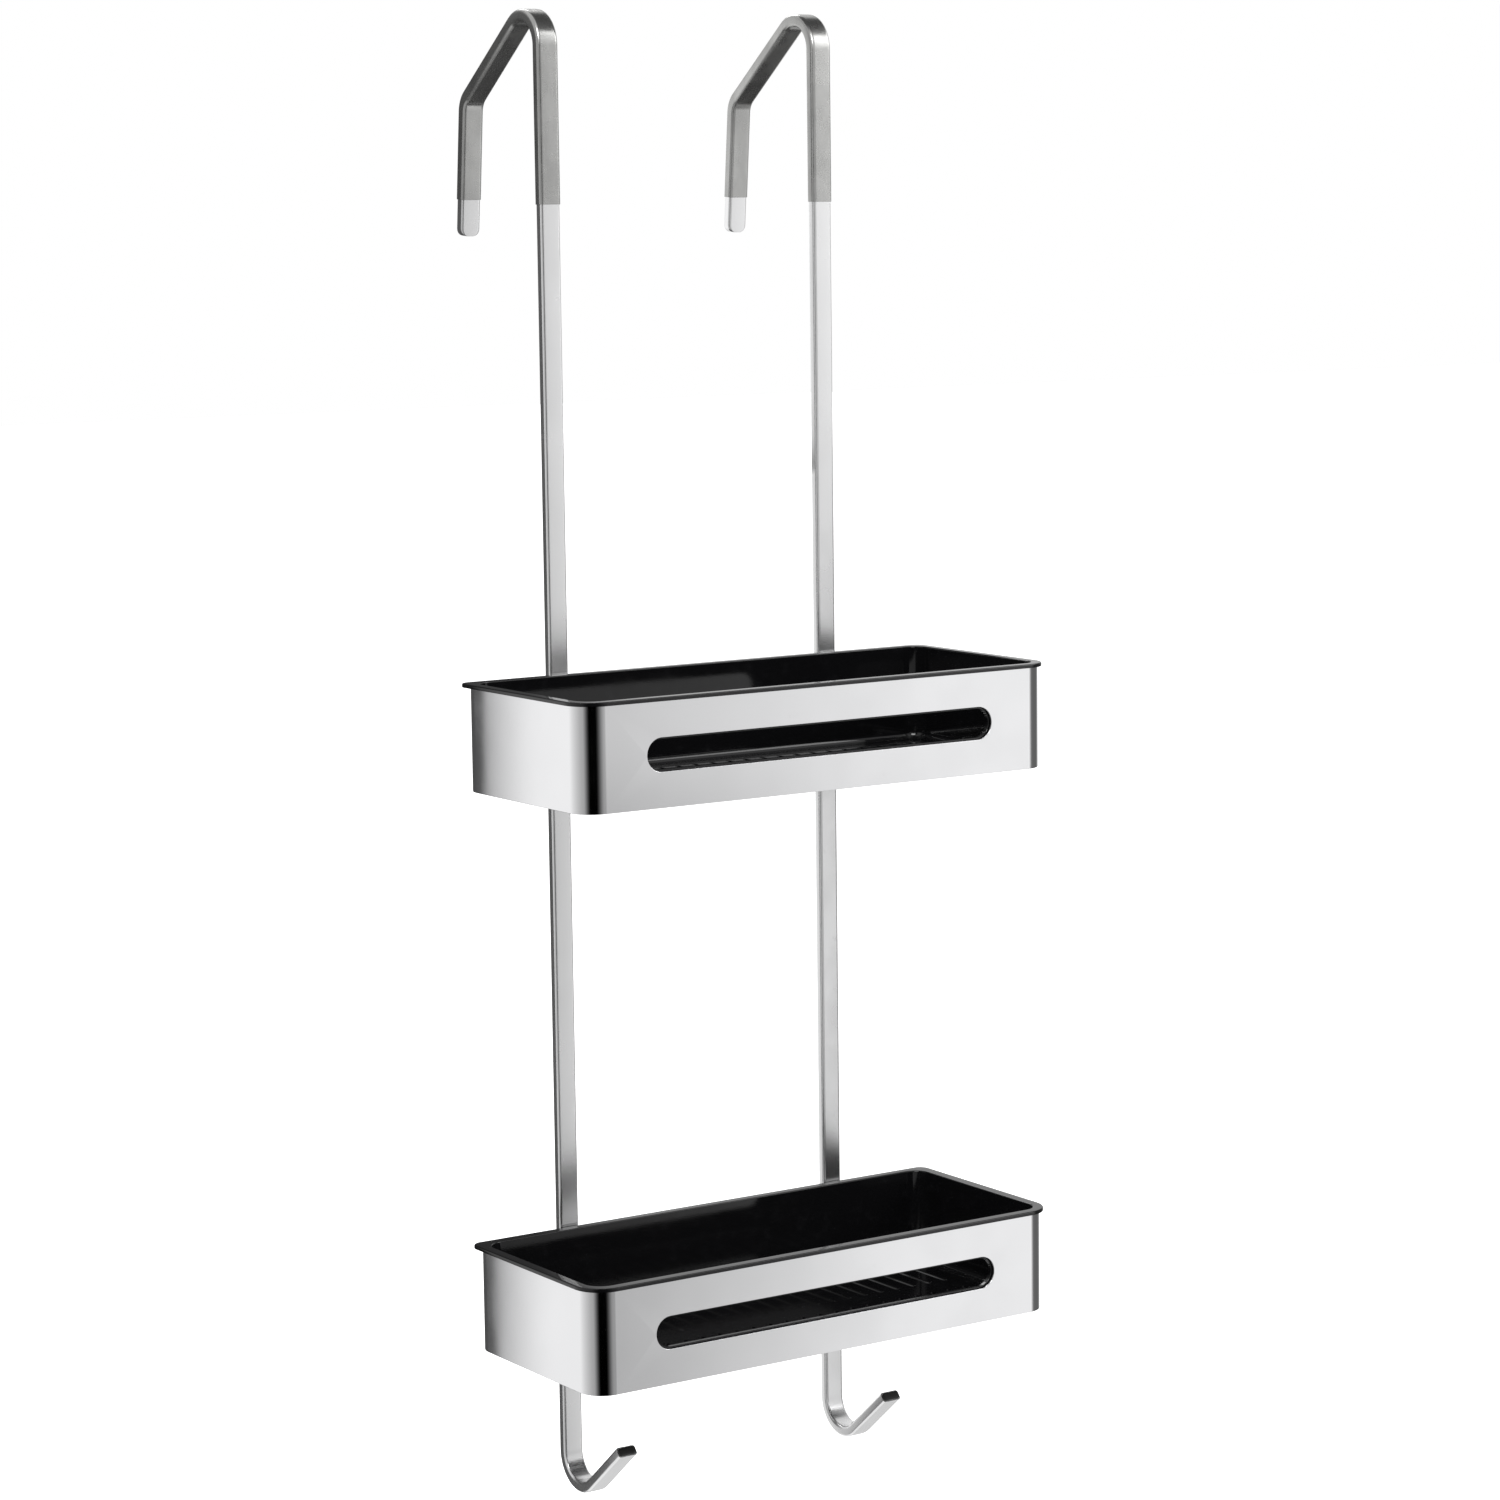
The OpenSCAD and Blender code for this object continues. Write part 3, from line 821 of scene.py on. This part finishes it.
class CADDY_OT_add_liners(bpy.types.Operator):
    """Add the two moulded lift-out liners with their rims and drain slots"""

    bl_idname = "caddy.add_liners"
    bl_label = "Add Liners"

    def execute(self, context):
        liner = context.scene.caddy_liner
        band = context.scene.caddy_band
        plastic = moulded_plastic("black_liner_plastic", liner.plastic, 0.035, 0.085)
        for level in LEVELS:
            node = f"{level}_basket_liner"
            low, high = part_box(node)
            bm = bmesh.new()
            self.build_tray(bm, liner, low, high)
            self.cut_drains(bm, liner, low, high)
            self.cut_slot(bm, liner, band, low, high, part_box(f"{level}_basket_band"))
            piece = piece_from(bm, f"{level}_liner_moulded", node, f"{level}_liner", plastic)
            soften(piece, 0.0)
        return {"FINISHED"}

    def build_tray(self, bm, liner, low, high):
        """The rim slab, the walls below it and the cavity, with their edges rounded."""
        under = high.z - liner.rim_thickness
        size = high - low
        middle = (low + high) / 2
        rim_place = Matrix.Translation((middle.x, middle.y, under))
        rim = rounded_face(bm, size.x, size.y, liner.rim_radius, CORNER_STEPS, rim_place,
                           liner.rim_back_radius)
        rim_top, _ = straight(bm, [rim], rim_place, liner.rim_thickness)
        body_width = size.x - 2.0 * liner.shelf
        body_depth = size.y - 2.0 * liner.shelf + liner.back_step
        body_y = middle.y + liner.back_step / 2
        body_radius = liner.rim_radius - liner.shelf
        body_place = Matrix.Translation((middle.x, body_y, under))
        body = rounded_face(bm, body_width, body_depth, body_radius, CORNER_STEPS, body_place)
        straight(bm, [body], body_place, low.z - under)
        mouth_place = Matrix.Translation((middle.x, body_y, high.z))
        mouth = rounded_face(bm, body_width - 2.0 * liner.wall, body_depth - 2.0 * liner.wall,
                             body_radius - liner.wall, CORNER_STEPS, mouth_place)
        straight(bm, [mouth], mouth_place, low.z + liner.wall - high.z)
        for outside, inside in ((rim, body), (rim_top[0], mouth)):
            edges = loop_of(bm, outside) + loop_of(bm, inside)
            bmesh.ops.triangle_fill(bm, edges=edges, use_beauty=True)
        bmesh.ops.recalc_face_normals(bm, faces=bm.faces)
        round_over(bm, creases_at(bm, high.z), liner.rim_round, RIM_ROUND_STEPS)
        round_over(bm, creases_at(bm, under), liner.under_round, UNDER_ROUND_STEPS)
        round_over(bm, creases_at(bm, low.z), liner.base_round, BASE_ROUND_STEPS)
        round_over(bm, creases_at(bm, low.z + liner.wall), liner.floor_fillet, FILLET_STEPS)

    def cut_drains(self, bm, liner, low, high):
        """Cut two rows of slots through the floor."""
        inner = low.z + liner.wall
        body_width = high.x - low.x - 2.0 * liner.shelf
        pitch = (body_width - 2.0 * liner.drain_margin) / (liner.drain_count - 1)
        middle = (low + high + Vector((0.0, liner.back_step, 0.0))) / 2
        outlines = []
        for index in range(liner.drain_count):
            across = middle.x + (index - (liner.drain_count - 1) / 2) * pitch
            for side in (-0.5, 0.5):
                along = middle.y + side * (liner.drain_length + liner.drain_strip)
                outlines.append((liner.drain_width, liner.drain_length,
                                 liner.drain_width / 2 - WELD, DRAIN_END_STEPS,
                                 Matrix.Translation((across, along, inner))))
        punch(bm, largest_face(bm, 2, inner), largest_face(bm, 2, low.z), outlines,
              (0.0, 0.0, -liner.wall))

    def cut_slot(self, bm, liner, band, low, high, band_box):
        """Cut the slot in the front wall, a lip smaller than the slot in the band."""
        outside = low.y + liner.shelf
        middle = (band_box[0] + band_box[1]) / 2
        place = (Matrix.Translation((middle.x, outside, middle.z))
                 @ Matrix.Rotation(math.pi / 2, 4, "X"))
        slot_height = band.slot_height - 2.0 * liner.slot_lip
        outline = (band.slot_length - 2.0 * liner.slot_lip, slot_height,
                   slot_height / 2 - WELD, SLOT_END_STEPS, place)
        punch(bm, largest_face(bm, 1, outside), largest_face(bm, 1, outside + liner.wall),
              [outline], (0.0, liner.wall, 0.0))


class CADDY_OT_add_plugs(bpy.types.Operator):
    """Add the black end plugs of the robe hooks"""

    bl_idname = "caddy.add_plugs"
    bl_label = "Add Plugs"

    def execute(self, context):
        bar = context.scene.caddy_bar
        plug = context.scene.caddy_plug
        rubber = moulded_plastic("black_plug_rubber", plug.rubber, 0.38, 0.52)
        for side in SIDES:
            bm = bmesh.new()
            place = robe_tip(f"{side}_hanger_bar", bar)
            under = rounded_face(bm, plug.head_width, plug.head_depth, plug.head_radius,
                                 ARC_STEPS, place)
            top, crown = straight(bm, [under], place, plug.head_height - plug.crown_rise)
            round_over(bm, list(top[0].edges), plug.head_round, HEAD_ROUND_STEPS)
            to_crown = crown.inverted()
            crown_face = max(bm.faces, key=lambda face: (to_crown @ face.calc_center_median()).z)
            bmesh.ops.inset_region(bm, faces=[crown_face], thickness=plug.crown_inset,
                                   use_even_offset=True)
            bmesh.ops.translate(bm, verts=crown_face.verts,
                                vec=crown.to_3x3() @ Vector((0.0, 0.0, plug.crown_rise)))
            lip = (plug.head_depth - plug.stem_depth) / 2
            bmesh.ops.inset_region(bm, faces=[under], thickness=lip, use_even_offset=True)
            scale_at(bm, [under], place, (plug.stem_width / (plug.head_width - 2.0 * lip), 1.0, 1.0))
            straight(bm, [under], place, -plug.stem_length)
            piece = piece_from(bm, f"{side}_plug_capped", f"{side}_robe_hook_plug", "hanger",
                               rubber)
            soften(piece, 0.0)
        return {"FINISHED"}


class CADDY_OT_dress_screws(bpy.types.Operator):
    """Give the screws behind the liners their finish"""

    bl_idname = "caddy.dress_screws"
    bl_label = "Dress Screws"

    def execute(self, context):
        finish = screw_finish("screw_steel")
        for level in LEVELS:
            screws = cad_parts[f"{level}_band_screws"]
            for slot in screws.material_slots:
                slot.material = finish
        return {"FINISHED"}


class CADDY_PT_panel(bpy.types.Panel):
    """Lists the caddy's pieces in the order they are added"""

    bl_idname = "CADDY_PT_panel"
    bl_label = "Shower Caddy"
    bl_space_type = "VIEW_3D"
    bl_region_type = "UI"
    bl_category = "Caddy"

    def draw(self, context):
        for operator in OPERATORS:
            self.layout.operator(operator.bl_idname)
        for name, group in SETTINGS:
            box = self.layout.box()
            box.label(text=group.__name__)
            for setting in group.__annotations__:
                box.prop(getattr(context.scene, name), setting)


# Tones of the tent below and above the horizon: degrees from the front towards the left, tone
LOW_TENT = (
    (-180, 0.80), (-130, 0.75), (-105, 0.40), (-66, 0.35), (-50, 1.50), (-40, 1.45), (-31, 0.46),
    (-22, 0.42), (0, 0.50), (40, 0.42), (65, 0.38), (90, 0.52), (125, 0.84), (150, 1.08),
    (180, 0.80),
)
HIGH_TENT = (
    (-180, 0.75), (-130, 0.75), (-80, 0.60), (-40, 0.90), (0, 0.60), (40, 0.55), (90, 0.60),
    (140, 0.75), (180, 0.75),
)

# Cards: name, middle, tilt and turn of the face, width and height, soft shares, tone, depth
CARDS = (
    ("card_front_left", (-0.168, -0.183, -0.45), (90.0, -21.0), (0.147, 1.15), (0.36, 0.42), 0.0, 1.0),
    ("card_back_left", (-0.115, 0.10, -0.45), (90.0, 0.0), (0.30, 1.15), (0.24, 0.28), 0.085, 1.0),
    ("card_left_edge", (-0.135, 0.098, -0.58), (90.0, 0.0), (0.182, 0.70), (0.03, 0.40), 0.08, 1.0),
    ("card_low_front", (0.17, -0.60, -0.835), (90.0, 0.0), (0.46, 0.83), (0.35, 0.55), 0.0, 0.22),
    ("card_right", (0.32, -0.17, -0.62), (90.0, 90.0), (0.30, 0.80), (0.30, 0.30), 0.10, 0.9),
    ("card_under_roofs", (0.16, 0.15, -0.25), (0.0, 0.0), (0.42, 0.26), (0.15, 0.15), 0.06, 1.0),
    ("card_over_hooks", (0.085, -0.02, 0.12), (0.0, 0.0), (0.34, 0.24), (0.10, 0.10), 0.04, 1.0),
)

# Lights: name, place, width and height, power
LIGHTS = (
    ("key", (-1.9, -2.4, 2.1), (1.6, 1.6), 60.0),
    ("fill", (2.4, -1.6, 1.2), (1.8, 1.8), 30.0),
    ("back", (0.6, 2.6, 1.9), (2.0, 1.2), 25.0),
)

OPERATORS = (
    CADDY_OT_add_stage,
    CADDY_OT_add_bars,
    CADDY_OT_add_sleeves,
    CADDY_OT_add_bands,
    CADDY_OT_add_liners,
    CADDY_OT_add_plugs,
    CADDY_OT_dress_screws,
)


def register():
    for name, group in SETTINGS:
        bpy.utils.register_class(group)
        setattr(bpy.types.Scene, name, PointerProperty(type=group))
    for operator in OPERATORS:
        bpy.utils.register_class(operator)
    bpy.utils.register_class(CADDY_PT_panel)


def unregister():
    bpy.utils.unregister_class(CADDY_PT_panel)
    for operator in reversed(OPERATORS):
        bpy.utils.unregister_class(operator)
    for name, group in reversed(SETTINGS):
        delattr(bpy.types.Scene, name)
        bpy.utils.unregister_class(group)


def main():
    register()
    bpy.ops.caddy.add_stage()
    bpy.ops.caddy.add_bars()
    bpy.ops.caddy.add_sleeves()
    bpy.ops.caddy.add_bands()
    bpy.ops.caddy.add_liners()
    bpy.ops.caddy.add_plugs()
    bpy.ops.caddy.dress_screws()


if __name__ == "__main__":
    main()
